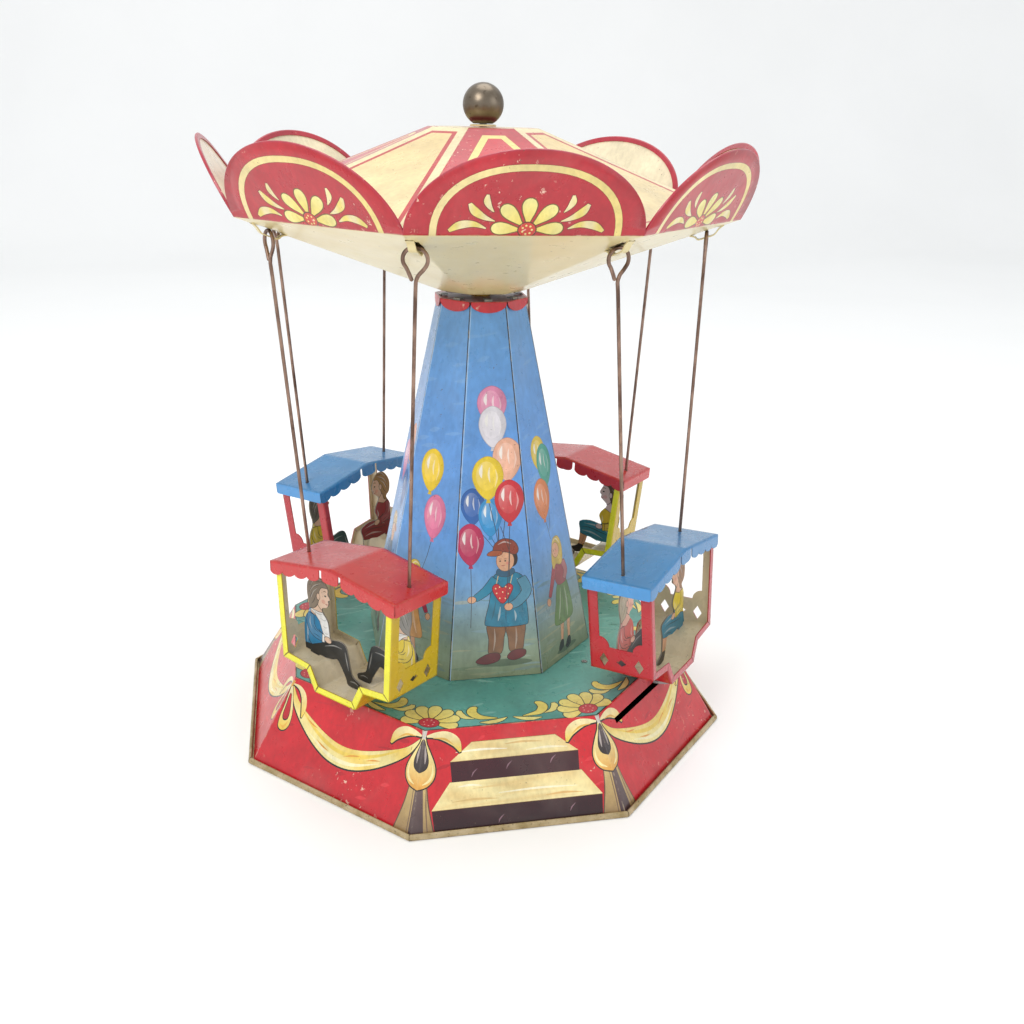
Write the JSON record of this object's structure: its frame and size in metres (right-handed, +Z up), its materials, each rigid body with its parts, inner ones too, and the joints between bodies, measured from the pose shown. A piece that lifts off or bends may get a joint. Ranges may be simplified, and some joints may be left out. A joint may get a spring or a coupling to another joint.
{
  "type": "wind-up tin carousel",
  "caption": "Clockwork tin carousel: an octagonal base and tower carry a turning scalloped canopy with hanging gondolas and seated riders.",
  "frame": {"origin": "middle of the underside of the base, on the surface that the toy stands on", "axes": "+Z up along the canopy shaft, -Y towards the side with the painted steps, +Y towards the winding key"},
  "size_m": [0.2342, 0.2342, 0.29],
  "materials": {
    "rim_brass": "dull, marked",
    "base_paint": "printed tin, glossy",
    "tower_paint": "printed tin, glossy",
    "red_paint": "glossy enamel",
    "blue_paint": "glossy enamel",
    "yellow_paint": "glossy enamel",
    "cream_paint": "glossy enamel",
    "roof_paint": "printed tin, glossy",
    "ball_bronze": "dark, aged",
    "wire_steel": "oxidised wire",
    "rider_paint": "hand painted",
    "clock_brass": "satin",
    "clock_steel": "satin"
  },
  "bodies": {
    "stand": {"base_plate": "rim_brass", "base_cover": "base_paint", "tower_shell": "tower_paint", "tower_collar": "red_paint", "top_bearing": "clock_brass", "front_plate": "clock_brass", "rear_plate": "clock_brass", "plate_pillar_1": "clock_steel", "plate_pillar_2": "clock_steel", "plate_pillar_3": "clock_steel", "plate_pillar_4": "clock_steel", "shaft_bracket": "clock_steel", "mainspring": "clock_steel", "lever_rivet": "clock_steel"},
    "canopy": {"canopy_pan": "cream_paint", "roof_panel": "roof_paint", "drive_hub": "clock_steel", "main_shaft": "clock_steel", "shaft_pinion": "clock_steel", "top_washer": "clock_brass", "finial_ball": "ball_bronze"},
    "great_wheel": {"great_wheel": "clock_brass", "click": "clock_steel"},
    "winding": {"winding_arbor": "clock_steel", "ratchet_wheel": "clock_steel", "winding_key": "clock_steel"},
    "second_arbor": {"second_arbor": "clock_steel", "second_wheel": "clock_brass", "crown_wheel": "clock_brass"},
    "third_arbor": {"third_arbor": "clock_steel", "third_wheel": "clock_brass"},
    "governor": {"governor_arbor": "clock_steel", "governor_fly": "clock_brass"},
    "stop_lever": {"stop_lever": "clock_steel"},
    "gondola_1": {"gondola_1_body": "yellow_paint", "gondola_1_roof": "red_paint", "gondola_1_wire_left": "wire_steel", "gondola_1_wire_right": "wire_steel", "gondola_1_rider_left": "rider_paint", "gondola_1_rider_right": "rider_paint"},
    "gondola_2": {"gondola_2_body": "red_paint", "gondola_2_roof": "blue_paint", "gondola_2_wire_left": "wire_steel", "gondola_2_wire_right": "wire_steel", "gondola_2_rider_left": "rider_paint", "gondola_2_rider_right": "rider_paint"},
    "gondola_3": {"gondola_3_body": "yellow_paint", "gondola_3_roof": "red_paint", "gondola_3_wire_left": "wire_steel", "gondola_3_wire_right": "wire_steel", "gondola_3_rider_left": "rider_paint", "gondola_3_rider_right": "rider_paint"},
    "gondola_4": {"gondola_4_body": "red_paint", "gondola_4_roof": "blue_paint", "gondola_4_wire_left": "wire_steel", "gondola_4_wire_right": "wire_steel", "gondola_4_rider_left": "rider_paint", "gondola_4_rider_right": "rider_paint"}
  },
  "joints": [
    {"name": "canopy_spin", "type": "hinge", "parent": "stand", "child": "canopy", "pos_m": [0, 0, 0.2], "axis": [0, 0, 1], "continuous": true},
    {"name": "great_wheel_spin", "type": "hinge", "parent": "stand", "child": "great_wheel", "pos_m": [0, 0, 0.023], "axis": [0, 1, 0], "continuous": true},
    {"name": "key_wind", "type": "hinge", "parent": "great_wheel", "child": "winding", "pos_m": [0, 0, 0.023], "axis": [0, 1, 0], "continuous": true},
    {"name": "second_arbor_spin", "type": "hinge", "parent": "stand", "child": "second_arbor", "pos_m": [0, 0, 0.046], "axis": [0, 1, 0], "continuous": true},
    {"name": "third_arbor_spin", "type": "hinge", "parent": "stand", "child": "third_arbor", "pos_m": [0.018, 0, 0.03728], "axis": [0, 1, 0], "continuous": true},
    {"name": "governor_spin", "type": "hinge", "parent": "stand", "child": "governor", "pos_m": [0.0295, 0, 0.02939], "axis": [0, 1, 0], "continuous": true},
    {"name": "stop_lever_turn", "type": "hinge", "parent": "stand", "child": "stop_lever", "pos_m": [0.04384, -0.04384, 0.0307], "axis": [0, 0, 1], "range_deg": [-59, 0]},
    {"name": "gondola_1_swing", "type": "hinge", "parent": "canopy", "child": "gondola_1", "pos_m": [-0.06429, -0.06176, 0.2339], "axis": [-0.6928, 0.7212, 0], "range_deg": [-5, 30]},
    {"name": "gondola_2_swing", "type": "hinge", "parent": "canopy", "child": "gondola_2", "pos_m": [0.06176, -0.06429, 0.2339], "axis": [-0.7212, -0.6928, 0], "range_deg": [-5, 30]},
    {"name": "gondola_3_swing", "type": "hinge", "parent": "canopy", "child": "gondola_3", "pos_m": [0.06429, 0.06176, 0.2339], "axis": [0.6928, -0.7212, 0], "range_deg": [-5, 30]},
    {"name": "gondola_4_swing", "type": "hinge", "parent": "canopy", "child": "gondola_4", "pos_m": [-0.06176, 0.06429, 0.2339], "axis": [0.7212, 0.6928, 0], "range_deg": [-5, 30]}
  ],
  "couplings": [
    {"joint": "great_wheel_spin", "follows": "canopy_spin", "ratio": -0.069444},
    {"joint": "second_arbor_spin", "follows": "canopy_spin", "ratio": 0.25},
    {"joint": "third_arbor_spin", "follows": "canopy_spin", "ratio": -1},
    {"joint": "governor_spin", "follows": "canopy_spin", "ratio": 3.4286}
  ]
}
